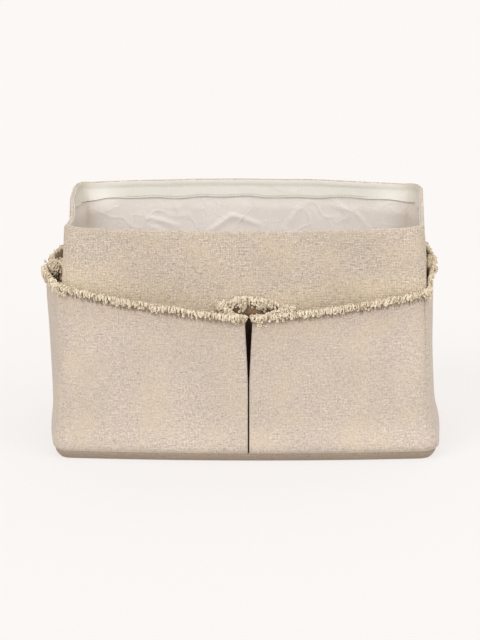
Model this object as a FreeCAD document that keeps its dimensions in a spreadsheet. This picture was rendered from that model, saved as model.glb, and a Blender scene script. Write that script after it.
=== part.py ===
"""Fabric storage bin: a lined canvas box with a pleated pocket band, raw at its top edge, on each wall.

Row frame: +X along the long front, +Y from the front to the back, +Z up, origin on the floor under
the middle of the base. All sizes are millimetres and live in the Sizes sheet.

From the outside in, each wall is: pocket band, canvas wall, lining, and at the rim a facing strip.
The base is a shallow canvas tray that takes the feet of the walls and bands, then a stiffening board,
then the lining's own base.
"""

import FreeCAD, Part

import math
import os

import Sketcher
from FreeCAD import Placement, Rotation, Vector

SIZES = (
    ("rim_length", 360, "length of the rim along X, corner to corner"),
    ("rim_depth", 210, "depth of the rim along Y, corner to corner"),
    ("height", 238, "floor to rim"),
    ("flare", 10, "how much further out each wall stands at its foot than at the rim"),
    ("corner_radius", 20, "outer radius of the four upright corners"),
    ("front_bow", 17, "how far the front and back walls bow out between the corners, at the rim"),
    ("foot_bow", 13, "the same at the foot of the front and back walls"),
    ("side_bow", 3, "how far the side walls bow out between the corners"),
    ("canvas", 1.2, "thickness of the canvas"),
    ("lining", 0.8, "thickness of the lining cloth"),
    ("ply_gap", 0.3, "clearance between two plies that lie on each other"),
    ("facing_height", 18, "height of the facing strip inside the rim"),
    ("tray_height", 8, "how far the base panel turns up around the feet of the walls"),
    ("tray_round", 1, "rounding of the base panel's lower edge"),
    ("tray_slack", 1, "clearance between the flat fold's outermost layer and the tray"),
    ("board", 2.5, "thickness of the stiffening board in the base"),
    ("board_inset", 1, "clearance between the board's edge and the canvas wall"),
    ("band_top", 177, "floor to the cut edge of a pocket band at the corners"),
    ("band_gap", 0.6, "clearance between a pocket band and the wall where it is caught"),
    ("front_dip", 23.5, "how much lower the front and back bands' edge hangs at the pleat"),
    ("side_dip", 3, "the same on the side bands"),
    ("front_mouth", 20, "how far the front and back bands stand off the wall at the pleat"),
    ("side_mouth", 15, "the same on the side bands"),
    ("front_pleat", 32, "half width of the pleat's underlay, front and back"),
    ("side_pleat", 24, "half width of the pleat's underlay, left and right"),
    ("underlay_drop", 6, "how much lower the underlay's edge is than the band's at the corners"),
    ("slit_top", 3.6, "half the opening between the pleat's two folds, at the mouth"),
    ("slit_foot", 0.7, "the same at the foot"),
    ("fold_gap", 0.4, "clearance between two layers of a flat fold"),
    ("fray", 6, "length of the frayed warp ends above the woven cloth"),
    ("tack_length", 12, "length of the bar tack that holds the underlay to the wall"),
    ("tack_width", 2.4, "width of that bar tack"),
    ("thread", 0.6, "thickness of the sewing thread"),
    ("stitch_rise", 2, "height of the facing's stitch line above the facing's lower edge"),
)

# Local outward direction of each wall: quarter turns from the front, which faces -Y.
SIDES = {"front": 0, "right": 1, "back": 2, "left": 3}
LONG_SIDES = ("front", "back")
ARC_STEPS = 7
CORNER_STEPS = 4
BAND_ROWS = 3

doc = FreeCAD.newDocument("storage_bin")
sheet = doc.addObject("Spreadsheet::Sheet", "Sizes")
for row, (alias, value, note) in enumerate(SIZES, 1):
    sheet.set(f"A{row}", note)
    sheet.set(f"B{row}", str(value))
    sheet.setAlias(f"B{row}", alias)
doc.recompute()


def size(formula):
    """The number that a formula on the sheet's cells gives now."""
    return float(sheet.evalExpression(formula))


# Levels and offsets that several pieces share, as formulas on the sheet.
FOOT = "(Sizes.canvas + Sizes.ply_gap)"
BOARD_TOP = f"({FOOT} + Sizes.board)"
LINING_FLOOR = f"({BOARD_TOP} + Sizes.ply_gap)"
LINING_FOOT = f"({LINING_FLOOR} + Sizes.lining + Sizes.ply_gap)"
LINING_FACE = "(Sizes.canvas + Sizes.ply_gap)"
LINING_BACK = f"({LINING_FACE} + Sizes.lining)"
FACING_FACE = f"({LINING_BACK} + Sizes.ply_gap)"
FACING_BACK = f"({FACING_FACE} + Sizes.lining)"
FACING_LOW = "(Sizes.height - Sizes.facing_height)"
STACK = "(Sizes.band_gap + 3 * Sizes.canvas + 2 * Sizes.fold_gap + Sizes.tray_slack)"
REACH = "(Sizes.rim_length + Sizes.rim_depth)"


def outline_formulas(level, offset):
    """Centres and radii of the bin's outline at its foot or rim, offset outwards by a formula."""
    flare, bow = ("Sizes.flare", "Sizes.foot_bow") if level == "foot" else ("0", "Sizes.front_bow")
    across = f"(Sizes.rim_length / 2 + {flare} - Sizes.corner_radius)"
    along = f"(Sizes.rim_depth / 2 + {flare} - Sizes.corner_radius)"

    def bowed(half, rise):
        return f"(({half} ^ 2 + {rise} ^ 2 + 2 * {rise} * Sizes.corner_radius) / (2 * {rise}))"

    return {
        "across": across,
        "along": along,
        "corner": f"Sizes.corner_radius + {offset}",
        "front": f"{bowed(across, bow)} + {offset}",
        "side": f"{bowed(along, 'Sizes.side_bow')} + {offset}",
    }


def outline_sketch(sketch, level, offset):
    """Eight tangent arcs, four bowed walls and four corners, with radii and corner centres bound."""
    formulas = outline_formulas(level, offset)
    now = {key: size(formula) for key, formula in formulas.items()}
    grow = size(offset)
    corner, front, side = (now[key] - grow for key in ("corner", "front", "side"))
    across, along = now["across"], now["along"]
    front_bow = size("Sizes.foot_bow" if level == "foot" else "Sizes.front_bow")
    front_y = front - along - corner - front_bow
    side_x = across + corner + size("Sizes.side_bow") - side
    theta = math.atan2(-along - front_y, across)
    phi = math.atan2(-along, across - side_x)
    arcs = (
        (0, front_y, "front", -math.pi - theta, theta),
        (across, -along, "corner", theta, phi),
        (side_x, 0, "side", phi, -phi),
        (across, along, "corner", -phi, -theta),
        (0, -front_y, "front", -theta, math.pi + theta),
        (-across, along, "corner", math.pi + theta, math.pi + phi),
        (-side_x, 0, "side", math.pi + phi, math.pi - phi),
        (-across, -along, "corner", math.pi - phi, math.pi - theta),
    )
    up = Vector(0, 0, 1)
    for x, y, kind, start, end in arcs:
        circle = Part.Circle(Vector(x, y, 0), up, now[kind])
        sketch.addGeometry(Part.ArcOfCircle(circle, start, end), False)
    for edge, (x, y, kind, start, end) in enumerate(arcs):
        following = (edge + 1) % len(arcs)
        sketch.addConstraint(Sketcher.Constraint("Tangent", edge, 2, following, 1))
        number = sketch.addConstraint(Sketcher.Constraint("Radius", edge, now[kind]))
        sketch.setExpression(f"Constraints[{number}]", formulas[kind])
        if kind != "corner":
            continue
        for axis, place, formula in (("X", x, "across"), ("Y", y, "along")):
            ends = (-1, 1, edge, 3) if place > 0 else (edge, 3, -1, 1)
            rule = Sketcher.Constraint(f"Distance{axis}", *ends, abs(place))
            number = sketch.addConstraint(rule)
            sketch.setExpression(f"Constraints[{number}]", formulas[formula])
    return sketch


def free_outline(name, level, offset, height):
    """An outline sketch of the document's own, at a height."""
    sketch = outline_sketch(doc.addObject("Sketcher::SketchObject", name), level, offset)
    sketch.setExpression("Placement.Base.z", height)
    return sketch


def tapered_core(name, offset):
    """Solid between the outline at the walls' foot and the one at the rim."""
    loft = doc.addObject("Part::Loft", name)
    loft.Sections = [
        free_outline(f"{name}_foot", "foot", offset, FOOT),
        free_outline(f"{name}_rim", "rim", offset, "Sizes.height"),
    ]
    loft.Solid, loft.Ruled = True, True
    return loft


def ring(name, outside, inside):
    """One ply all round the bin, between two cores."""
    cut = doc.addObject("Part::Cut", name)
    cut.Base, cut.Tool = outside, inside
    return cut


def polygon_sketch(name, corners, height):
    """A closed polygon whose corners are pairs of formulas for x and y."""
    sketch = doc.addObject("Sketcher::SketchObject", name)
    places = [Vector(size(x), size(y), 0) for x, y in corners]
    count = len(places)
    for edge in range(count):
        sketch.addGeometry(Part.LineSegment(places[edge], places[(edge + 1) % count]), False)
    for edge in range(count):
        sketch.addConstraint(Sketcher.Constraint("Coincident", edge, 2, (edge + 1) % count, 1))
    for edge, (x, y) in enumerate(corners):
        for axis, formula in (("X", x), ("Y", y)):
            now = size(formula)
            ends = (-1, 1, edge, 1) if now > 0 else (edge, 1, -1, 1)
            rule = Sketcher.Constraint(f"Distance{axis}", *ends, abs(now))
            number = sketch.addConstraint(rule)
            sketch.setExpression(f"Constraints[{number}]", formula if now > 0 else f"-({formula})")
    sketch.setExpression("Placement.Base.z", height)
    return sketch


def sector(name, side, low):
    """Prism over one wall, from mitre to mitre: the corner seams lie on its slanting faces."""
    formulas = outline_formulas("foot", "0")
    across, along = formulas["across"], formulas["along"]
    inner = f"({along} / 2)"
    outer = REACH
    near = (f"({across} - {inner})", f"-({along} - {inner})")
    far = (f"({across} + {outer})", f"-({along} + {outer})")
    if side in LONG_SIDES:
        flip = "-1 * " if side == "back" else ""
        corners = [
            (f"-1 * {near[0]}", f"{flip}{near[1]}"),
            (f"-1 * {far[0]}", f"{flip}{far[1]}"),
            (far[0], f"{flip}{far[1]}"),
            (near[0], f"{flip}{near[1]}"),
        ]
    else:
        flip = "-1 * " if side == "left" else ""
        corners = [
            (f"{flip}{near[0]}", near[1]),
            (f"{flip}{far[0]}", far[1]),
            (f"{flip}{far[0]}", f"-1 * {far[1]}"),
            (f"{flip}{near[0]}", f"-1 * {near[1]}"),
        ]
    prism = doc.addObject("Part::Extrusion", name)
    prism.Base = polygon_sketch(f"{name}_plan", corners, low)
    prism.DirMode, prism.Dir, prism.Solid = "Custom", Vector(0, 0, 1), True
    prism.setExpression("LengthFwd", f"Sizes.height - {low}")
    return prism


def wall_panels(kind, ply, low):
    """The four pieces of one ply above a level, each from corner seam to corner seam."""
    panels = []
    for side in SIDES:
        panel = doc.addObject("Part::Common", f"{side}_{kind}")
        panel.Base, panel.Tool = ply, sector(f"{side}_{kind}_sector", side, low)
        panel.Label = f"{side}_{kind}"
        panels.append(panel)
    return panels


def flat_body(name, offset, low, thickness):
    """A flat piece of the base: the outline at the foot, offset, padded up."""
    body = doc.addObject("PartDesign::Body", name)
    body.Label = name
    sketch = body_outline(body, f"{name}_outline", offset, low)
    pad = body.newObject("PartDesign::Pad", f"{name}_pad")
    pad.Profile = sketch
    pad.setExpression("Length", thickness)
    return body


def body_outline(body, name, offset, level):
    """The foot outline as a sketch on the body's own XY plane, raised to a level."""
    sketch = body.newObject("Sketcher::SketchObject", name)
    plane = next(f for f in body.Origin.OriginFeatures if f.Role == "XY_Plane")
    sketch.AttachmentSupport, sketch.MapMode = [(plane, "")], "FlatFace"
    sketch.setExpression("AttachmentOffset.Base.z", level)
    return outline_sketch(sketch, "foot", offset)


def base_panel():
    """Canvas tray: a flat floor turned up around the feet of the walls and the pocket bands."""
    body = flat_body("base_panel", f"({STACK} + Sizes.canvas)", "0", "Sizes.tray_height")
    doc.recompute()
    full = body.Shape.Volume
    hollow = body.newObject("PartDesign::Pocket", "base_panel_hollow")
    hollow.Profile = body_outline(body, "base_panel_inside", STACK, "Sizes.canvas")
    hollow.Reversed = True
    hollow.setExpression("Length", "Sizes.tray_height")
    doc.recompute()
    if body.Shape.Volume > 0.5 * full:
        raise RuntimeError("the base panel's hollow cut nothing")
    lower = [
        f"Edge{number}"
        for number, edge in enumerate(body.Shape.Edges, 1)
        if edge.BoundBox.ZMax < 1e-6
    ]
    rounding = body.newObject("PartDesign::Fillet", "base_panel_round")
    rounding.Base = (hollow, lower)
    rounding.setExpression("Radius", "Sizes.tray_round")
    return body


class Wall:
    """The outer face of one canvas wall, in the wall's own terms: along it, out from it and up."""

    def __init__(self, side):
        long_side = side in LONG_SIDES
        self.turn = SIDES[side]
        self.radius = size("Sizes.corner_radius")
        self.foot, self.rim = size(FOOT), size("Sizes.height")
        span = size("Sizes.rim_length" if long_side else "Sizes.rim_depth") / 2 - self.radius
        reach = size("Sizes.rim_depth" if long_side else "Sizes.rim_length") / 2
        flare = size("Sizes.flare")
        self.span, self.reach = (span + flare, span), (reach + flare, reach)
        if long_side:
            self.bow = (size("Sizes.foot_bow"), size("Sizes.front_bow"))
        else:
            self.bow = (size("Sizes.side_bow"),) * 2

    def at(self, pair, level):
        """A size at a height, between its values at the foot and the rim."""
        share = (level - self.foot) / (self.rim - self.foot)
        return pair[0] + (pair[1] - pair[0]) * share

    def arc(self, level, extra):
        """Radius, centre and half angle of the bowed face at a height, with extra bow."""
        span, bow = self.at(self.span, level), self.at(self.bow, level) + extra
        radius = (span**2 + bow**2 + 2 * bow * self.radius) / (2 * bow)
        centre = self.at(self.reach, level) + bow - radius
        half = math.atan2(span, self.at(self.reach, level) - self.radius - centre)
        return radius, centre, half

    def face(self, along, level, off, extra=0.0):
        """Point on the bowed face at a distance along the wall, off it by a clearance."""
        radius, centre, _ = self.arc(level, extra)
        angle = math.asin(along / (radius + off))
        return along, centre + (radius + off) * math.cos(angle)

    def turned(self, share, level, off, extra):
        """Point on the way round the corner, from its seam, 0, and along the face to its middle, 1."""
        radius, centre, half = self.arc(level, extra)
        corner_share = CORNER_STEPS / (CORNER_STEPS + ARC_STEPS)
        if share <= corner_share:
            angle = math.pi / 4 + (half - math.pi / 4) * share / corner_share
            span, reach = self.at(self.span, level), self.at(self.reach, level)
            out = self.radius + off
            return span + out * math.sin(angle), reach - self.radius + out * math.cos(angle)
        angle = half * (1 - (share - corner_share) / (1 - corner_share))
        return (radius + off) * math.sin(angle), centre + (radius + off) * math.cos(angle)

    def place(self, along, out, level):
        """The row-frame point of a place on this wall."""
        x, y = along, -out
        for _ in range(self.turn):
            x, y = -y, x
        return Vector(x, y, level)


def band_half(wall, level_of, mouth, slit_of, pleat):
    """Half of the band's path, from the corner seam to the middle, as pairs of points, wall side first.

    level_of(share) gives the height of a point from its share of the way along the face, or with
    None the height of the underlay; mouth(level) is the extra bow of the face at a height, and
    slit_of(level) half the opening between the folds.
    """
    ply, gap, fold = size("Sizes.canvas"), size("Sizes.band_gap"), size("Sizes.fold_gap")
    steps = CORNER_STEPS + ARC_STEPS
    half = []

    def pair(level, wall_point, free_point):
        half.append((wall.place(*wall_point, level), wall.place(*free_point, level)))

    for step in range(steps):
        level = level_of(step / steps)
        inner = wall.turned(step / steps, level, gap, mouth(level))
        outer = wall.turned(step / steps, level, gap + ply, mouth(level))
        pair(level, inner, outer)

    level = level_of(1.0)
    slit = slit_of(level)
    front = wall.face(slit, level, gap, mouth(level))[1]
    pair(level, (slit + ply, front), (slit, front + ply))
    pair(level, (slit + ply, front - fold), (slit, front - fold - ply))

    level = level_of(None)
    near = wall.face(pleat, level, gap)[1]
    back = near + ply + fold
    pair(level, (pleat + ply, back + ply), (pleat, back))
    pair(level, (pleat + ply, near), (pleat, near + ply))
    middle = wall.face(0.0, level, gap)[1]
    pair(level, (0.0, middle), (0.0, middle + ply))
    return half


def mirrored(wall, points):
    """The other half of a path, mirrored about the wall's middle."""
    axis = wall.place(1, 0, 0)
    return [
        tuple(p - axis * (2 * p.dot(axis)) for p in pair)
        for pair in reversed(points[:-1])
    ]


def sheet_solid(rows):
    """Closed solid of cloth from rows of pairs, each pair through the cloth, all rows as long."""
    faces = []

    def quad(a, b, c, d):
        for corners in ((a, b, c), (a, c, d)):
            faces.append(Part.Face(Part.makePolygon([*corners, corners[0]])))

    for low, high in zip(rows, rows[1:]):
        for i in range(len(low) - 1):
            quad(low[i][0], low[i + 1][0], high[i + 1][0], high[i][0])
            quad(low[i][1], high[i][1], high[i + 1][1], low[i + 1][1])
        for i in (0, -1):
            quad(low[i][0], high[i][0], high[i][1], low[i][1])
    for row in (rows[0], rows[-1]):
        for i in range(len(row) - 1):
            quad(row[i][0], row[i][1], row[i + 1][1], row[i + 1][0])
    solid = Part.Solid(Part.Shell(faces))
    return solid if solid.Volume > 0 else solid.reversed()


def band(side):
    """Pocket band of one wall and its frayed edge: a cloth caught at both corner seams, with an
    inverted box pleat in the middle whose underlay lies on the wall."""
    wall = Wall(side)
    name = "front" if side in LONG_SIDES else "side"
    top, dip = size("Sizes.band_top"), size(f"Sizes.{name}_dip")
    under_top = top - size("Sizes.underlay_drop")
    mouth_top, pleat = size(f"Sizes.{name}_mouth"), size(f"Sizes.{name}_pleat")
    foot, fray = size(FOOT), size("Sizes.fray")
    layers = 2 * (size("Sizes.canvas") + size("Sizes.fold_gap"))
    slit_foot, slit_top = size("Sizes.slit_foot"), size("Sizes.slit_top")

    def share_up(level):
        return (level - foot) / (top - foot)

    def mouth(level):
        return layers + (mouth_top - layers) * share_up(level)

    def slit_of(level):
        return slit_foot + (slit_top - slit_foot) * share_up(level)

    def edge(share):
        return under_top if share is None else top - dip * math.sin(share * math.pi / 2) ** 2

    def row(level_of):
        half = band_half(wall, level_of, mouth, slit_of, pleat)
        return half + mirrored(wall, half)

    rows = [
        row(lambda share, part=part: foot + (edge(share) - foot) * part / BAND_ROWS)
        for part in range(BAND_ROWS + 1)
    ]
    tips = row(lambda share: edge(share) + fray)
    return sheet_solid(rows), sheet_solid([rows[-1], tips])


def put(name, shape):
    """A sub-part whose shape the script makes."""
    feature = doc.addObject("Part::Feature", name)
    feature.Label, feature.Shape = name, shape
    return feature


def bar_tack(side):
    """Block of satin stitches across the top of the underlay, through band and wall."""
    wall = Wall(side)
    level = size("Sizes.band_top - Sizes.underlay_drop - Sizes.fray")
    lie = size("Sizes.band_gap + Sizes.canvas")
    lean = math.degrees(math.atan2(size("Sizes.flare"), wall.rim - wall.foot))
    tack = doc.addObject("Part::Box", f"{side}_pleat_tack")
    tack.Label = f"{side}_pleat_tack"
    tack.setExpression("Length", "Sizes.tack_length")
    tack.setExpression("Width", "Sizes.thread")
    tack.setExpression("Height", "Sizes.tack_width")
    out = wall.face(0.0, level, lie)[1] + size("Sizes.thread + Sizes.ply_gap")
    corner = wall.place(-size("Sizes.tack_length") / 2, out, level)
    spin = Rotation(Vector(0, 0, 1), 90 * wall.turn)
    tilt = Rotation(Vector(1, 0, 0), -lean)
    tack.Placement = Placement(corner, spin.multiply(tilt))
    return tack


def stitch_line(facing_in, thread_in):
    """Sewing thread along the lower edge of the facing, all round."""
    line = doc.addObject("Part::Common", "facing_stitching")
    line.Label = "facing_stitching"
    slab = doc.addObject("Part::Box", "facing_stitching_level")
    for edge, place in (("Length", "x"), ("Width", "y")):
        slab.setExpression(edge, REACH)
        slab.setExpression(f"Placement.Base.{place}", f"-{REACH} / 2")
    slab.setExpression("Height", "Sizes.thread")
    slab.setExpression("Placement.Base.z", f"{FACING_LOW} + Sizes.stitch_rise")
    line.Base, line.Tool = ring("thread_ring", facing_in, thread_in), slab
    return line


CORES = {
    "wall_outside": "0",
    "wall_inside": "-Sizes.canvas",
    "lining_outside": f"-{LINING_FACE}",
    "lining_inside": f"-{LINING_BACK}",
    "facing_outside": f"-{FACING_FACE}",
    "facing_inside": f"-{FACING_BACK}",
    "thread_inside": f"-({FACING_BACK} + Sizes.thread)",
}
cores = {name: tapered_core(name, offset) for name, offset in CORES.items()}
parts = []
for kind, low in (("wall", FOOT), ("lining", LINING_FOOT), ("facing", FACING_LOW)):
    ply = ring(f"{kind}_ply", cores[f"{kind}_outside"], cores[f"{kind}_inside"])
    parts += wall_panels(kind, ply, low)
parts.append(stitch_line(cores["facing_inside"], cores["thread_inside"]))
parts.append(base_panel())
parts.append(flat_body("base_board", "-(Sizes.canvas + Sizes.board_inset)", FOOT, "Sizes.board"))
parts.append(flat_body("base_lining", f"-{LINING_FACE}", LINING_FLOOR, "Sizes.lining"))
for side in SIDES:
    cloth, frayed = band(side)
    parts.append(put(f"{side}_pocket", cloth))
    parts.append(put(f"{side}_pocket_fray", frayed))
doc.recompute()
for side in SIDES:
    parts.append(bar_tack(side))
doc.recompute()

for thing in doc.Objects:
    if "Invalid" in thing.State or "Error" in thing.State:
        raise RuntimeError(f"{thing.Label} failed: {thing.State}")
for part in parts:
    if part.Shape.isNull() or not part.Shape.isValid() or not part.Shape.Solids:
        raise RuntimeError(f"{part.Label} has no valid solid")

os.makedirs("parts", exist_ok=True)
for part in parts:
    part.Shape.exportStep(os.path.join("parts", f"{part.Label}.step"))
    print(f"{part.Label}: {len(part.Shape.Solids)} solid, {part.Shape.Volume:.0f} mm3")
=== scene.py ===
"""Fabric storage bin: its sewn cloth, frayed pocket edges, stitches and finishes, in metres.

Each wall is worked in its own terms: along it from its middle, off its outer face, and up. A band is
one strip of canvas that runs from corner seam to corner seam and folds into a box pleat on the way.
"""

import math
import random

import bmesh
import bpy
from mathutils import Matrix, Vector, noise


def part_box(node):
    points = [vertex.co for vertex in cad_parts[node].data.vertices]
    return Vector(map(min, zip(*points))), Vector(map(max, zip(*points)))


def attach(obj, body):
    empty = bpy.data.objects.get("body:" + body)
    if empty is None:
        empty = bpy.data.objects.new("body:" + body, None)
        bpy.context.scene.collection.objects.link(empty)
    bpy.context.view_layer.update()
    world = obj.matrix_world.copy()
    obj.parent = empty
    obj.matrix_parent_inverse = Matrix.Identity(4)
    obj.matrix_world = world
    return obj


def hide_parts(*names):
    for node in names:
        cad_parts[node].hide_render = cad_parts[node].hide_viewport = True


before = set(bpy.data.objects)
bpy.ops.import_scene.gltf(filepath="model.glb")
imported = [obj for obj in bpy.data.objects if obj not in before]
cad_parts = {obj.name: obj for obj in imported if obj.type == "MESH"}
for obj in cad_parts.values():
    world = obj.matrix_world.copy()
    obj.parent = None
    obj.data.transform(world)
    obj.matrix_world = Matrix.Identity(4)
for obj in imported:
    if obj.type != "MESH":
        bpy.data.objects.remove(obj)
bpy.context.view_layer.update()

# Thicknesses and clearances of the plies.
CANVAS = 0.0012
LINING = 0.0008
PLY_GAP = 0.0003
BAND_GAP = 0.0006
FOLD_GAP = 0.0004

# Plan of the bin, worked back from the reach of the walls' feet. The spreads are how much wider the rim
# is at the left and right corners, as shares, and they set in above a level.
FLARE = 0.010
FOOT_CORNER = 0.014
RIM_CORNERS = {"front": 0.014, "back": 0.020}
FRONT_SPREAD = (0.018, 0.008)
BACK_SPREAD = (0.000, 0.050)
SPREAD_FROM = 0.05
FOOT_BOW = 0.006
RIM_BOW = 0.010
SIDE_BOW = 0.003
HALF_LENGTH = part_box("right_wall")[1].x - FLARE - SIDE_BOW
HALF_DEPTH = -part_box("front_wall")[0].y - FLARE - FOOT_BOW

# All the plies draw in together below this level, to this depth at the floor.
TUCK_TOP = 0.016
FOOT_TUCK = 0.006

# Levels.
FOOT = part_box("front_wall")[0].z
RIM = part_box("front_wall")[1].z
LINING_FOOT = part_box("front_lining")[0].z
LINING_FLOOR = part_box("base_lining")[0].z
FACING_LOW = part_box("front_facing")[0].z
BASE_SEAM = 0.0092

# Rim: the canvas rolls over it and the facing covers the turned edge.
ROLL = 0.0011
TUCK = 0.0012
WALL_ROWS = 84
ROLL_ROWS = 7

SIDES = {"front": 0, "right": 1, "back": 2, "left": 3}
# Which corners each wall runs between, in its own order along it.
ENDS = {
    "front": ("front", "front"),
    "right": ("front", "back"),
    "back": ("back", "back"),
    "left": ("back", "front"),
}
UP = Vector((0, 0, 1))


def smooth(share):
    """Eases from 0 to 1 as share goes from 0 to 1."""
    share = min(1.0, max(0.0, share))
    return share * share * (3 - 2 * share)


def between(low, high, share):
    return low + (high - low) * share


class Side:
    """One wall: where a place along it, off its outer face and up it lies in the frame."""

    def __init__(self, name):
        self.name = name
        self.number = SIDES[name]
        self.is_long = name in ("front", "back")
        self.spin = Matrix.Rotation(self.number * math.pi / 2, 3, "Z")
        self.span, self.reach = (HALF_LENGTH, HALF_DEPTH) if self.is_long else (HALF_DEPTH, HALF_LENGTH)
        self.bows = (FOOT_BOW, RIM_BOW) if self.is_long else (SIDE_BOW, SIDE_BOW)
        self.corners = [RIM_CORNERS[end] for end in ENDS[name]]

    def arc(self, level, hand):
        """The bowed face at a level on one hand: its radius, centre and half angle, then its corner's."""
        rise = (level - FOOT) / (RIM - FOOT)
        corner = between(FOOT_CORNER, self.corners[hand >= 0], rise)
        span = self.span + FLARE * (1 - rise) - corner
        reach = self.reach + FLARE * (1 - rise)
        bow = between(*self.bows, rise)
        radius = (span**2 + bow**2 + 2 * bow * corner) / (2 * bow)
        centre = reach + bow - radius
        return radius, centre, math.atan2(span, reach - corner - centre), span, reach - corner, corner

    def half(self, level, hand):
        """Length of the wall's outer face from its middle to the corner seam on one hand."""
        radius, _, angle, _, _, corner = self.arc(level, hand)
        return radius * angle + corner * (math.pi / 4 - angle)

    def whole(self, level):
        return self.half(level, -1) + self.half(level, 1)

    def along(self, share, level):
        """Distance along from the middle, for a share of the way to a corner seam."""
        return share * self.half(level, share)

    def inset(self, along, level):
        """Distance from the nearer corner seam."""
        return self.half(level, along) - abs(along)

    def at(self, along, level, off):
        """The point at a distance along the outer face from its middle, off it, at a level."""
        radius, centre, angle, span, reach, corner = self.arc(level, along)
        off -= FOOT_TUCK * max(0.0, 1 - level / TUCK_TOP) ** 2
        way = abs(along)
        if way <= radius * angle:
            turn = way / radius
            x, out = (radius + off) * math.sin(turn), centre + (radius + off) * math.cos(turn)
        else:
            turn = angle + (way - radius * angle) / corner
            x, out = span + (corner + off) * math.sin(turn), reach + (corner + off) * math.cos(turn)
        point = self.spin @ Vector((math.copysign(x, along), -out, level))
        right, deep = 0.5 + 0.5 * point.x / HALF_LENGTH, 0.5 + 0.5 * point.y / HALF_DEPTH
        spread = between(between(*FRONT_SPREAD, right), between(*BACK_SPREAD, right), deep)
        point.x *= 1 + spread * smooth((level - SPREAD_FROM) / (RIM - SPREAD_FROM))
        return point


# Finishes.


class Finish:
    """A material's node tree, with short ways to add nodes and join them."""

    def __init__(self, name, roughness, sheen=0.0, sheen_roughness=0.5):
        self.material = bpy.data.materials.new(name)
        self.material.use_nodes = True
        self.tree = self.material.node_tree
        self.shader = self.tree.nodes["Principled BSDF"]
        self.shader.inputs["Roughness"].default_value = roughness
        self.shader.inputs["Specular IOR Level"].default_value = 0.25
        self.shader.inputs["Sheen Weight"].default_value = sheen
        self.shader.inputs["Sheen Roughness"].default_value = sheen_roughness

    def add(self, kind, **settings):
        node = self.tree.nodes.new(kind)
        for key, value in settings.items():
            setattr(node, key, value)
        return node

    def feed(self, socket, value):
        """Joins an output to an input, or sets the input to a plain value."""
        if isinstance(value, bpy.types.NodeSocket):
            self.tree.links.new(value, socket)
        else:
            socket.default_value = value

    def maths(self, operation, *values):
        node = self.add("ShaderNodeMath", operation=operation)
        for socket, value in zip(node.inputs, values):
            self.feed(socket, value)
        return node.outputs[0]

    def spread(self, value, low, high, to_low=0.0, to_high=1.0):
        """Maps a value from one range to another, clamped."""
        node = self.add("ShaderNodeMapRange")
        for key, number in zip(("Value", "From Min", "From Max", "To Min", "To Max"),
                               (value, low, high, to_low, to_high)):
            self.feed(node.inputs[key], number)
        return node.outputs[0]

    def mix(self, share, first, second, blend="MIX"):
        node = self.add("ShaderNodeMix", data_type="RGBA", blend_type=blend)
        self.feed(node.inputs["Factor"], share)
        self.feed(node.inputs["A"], first)
        self.feed(node.inputs["B"], second)
        return node.outputs["Result"]

    def place(self, source, scale):
        """Coordinates of a source, stretched."""
        node = self.add("ShaderNodeMapping")
        self.feed(node.inputs["Vector"], source)
        node.inputs["Scale"].default_value = scale
        return node.outputs[0]

    def noise(self, source, scale, detail=2.0, roughness=0.5, stretch=(1, 1, 1)):
        node = self.add("ShaderNodeTexNoise")
        self.feed(node.inputs["Vector"], self.place(source, stretch))
        node.inputs["Scale"].default_value = scale
        node.inputs["Detail"].default_value = detail
        node.inputs["Roughness"].default_value = roughness
        return node.outputs["Fac"]

    def dots(self, source, scale, stretch=(1, 1, 1)):
        """Distance to the nearest of a scatter of points."""
        node = self.add("ShaderNodeTexVoronoi")
        self.feed(node.inputs["Vector"], self.place(source, stretch))
        node.inputs["Scale"].default_value = scale
        return node.outputs["Distance"]

    def bump(self, height, distance, strength=1.0, under=None):
        node = self.add("ShaderNodeBump")
        node.inputs["Strength"].default_value = strength
        node.inputs["Distance"].default_value = distance
        self.feed(node.inputs["Height"], height)
        if under is not None:
            self.feed(node.inputs["Normal"], under)
        return node.outputs[0]

    def done(self, colour, normal):
        self.feed(self.shader.inputs["Base Color"], colour)
        self.feed(self.shader.inputs["Normal"], normal)
        return self.material


def plain_weave(finish, spot, pitch, wander):
    """Height of a plain weave, 0 to 1, of yarns a pitch apart that wander by a share of it."""
    parts = finish.add("ShaderNodeSeparateXYZ")
    finish.feed(parts.inputs[0], spot)
    drift = finish.maths("MULTIPLY", finish.noise(spot, 260.0, 1.0), wander * pitch)
    waves = []
    for axis in ("X", "Y"):
        way = finish.maths("ADD", parts.outputs[axis], drift)
        waves.append(finish.maths("SINE", finish.maths("MULTIPLY", way, math.pi / pitch)))
    over = finish.spread(finish.maths("MULTIPLY", *waves), -0.5, 0.5, 0.1, 1.0)
    under = finish.maths("SUBTRACT", 1.1, over)
    warp = finish.maths("MULTIPLY", finish.maths("ABSOLUTE", waves[0]), over)
    weft = finish.maths("MULTIPLY", finish.maths("ABSOLUTE", waves[1]), under)
    return finish.maths("MAXIMUM", warp, weft)


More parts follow.
